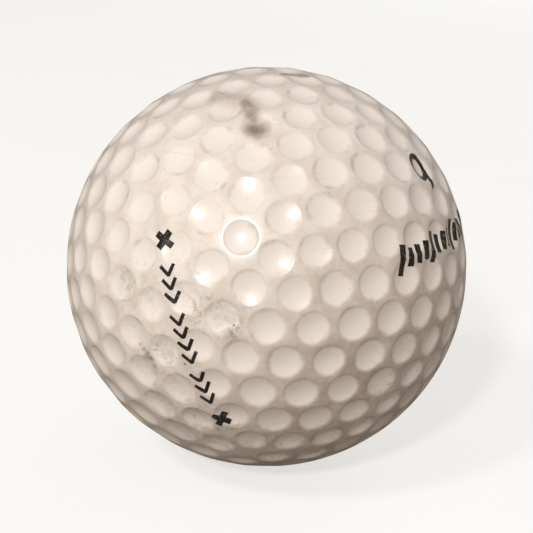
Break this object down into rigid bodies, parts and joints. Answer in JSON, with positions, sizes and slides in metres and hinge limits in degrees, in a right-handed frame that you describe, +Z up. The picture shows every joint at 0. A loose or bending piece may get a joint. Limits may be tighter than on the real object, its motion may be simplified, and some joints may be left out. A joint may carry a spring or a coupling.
{
  "type": "golf ball",
  "caption": "Round white golf ball with rows of shallow dimples, a smooth seam, a wound rubber core and a soft painted cover in two halves.",
  "frame": {"origin": "middle of the ball", "axes": "+Z up as the ball lies; the pole of the upper cover half points to +X, a little towards -Y and up, and the small flat between dimples that stands in for its resting point faces -Z"},
  "size_m": [0.0426, 0.0426, 0.0426],
  "materials": {
    "painted_cover": "cream paint under a worn glossy clear coat",
    "finish_thread": "stretched tan rubber thread",
    "base_thread": "darker stretched rubber thread",
    "centre_rubber": "moulded black rubber",
    "filling": "pale paste, wet sheen"
  },
  "bodies": {
    "root": {"cover_upper": "painted_cover", "cover_lower": "painted_cover", "winding_finish": "finish_thread", "winding_base": "base_thread", "centre_cup_upper": "centre_rubber", "centre_cup_lower": "centre_rubber", "centre_filling": "filling"}
  },
  "joints": []
}
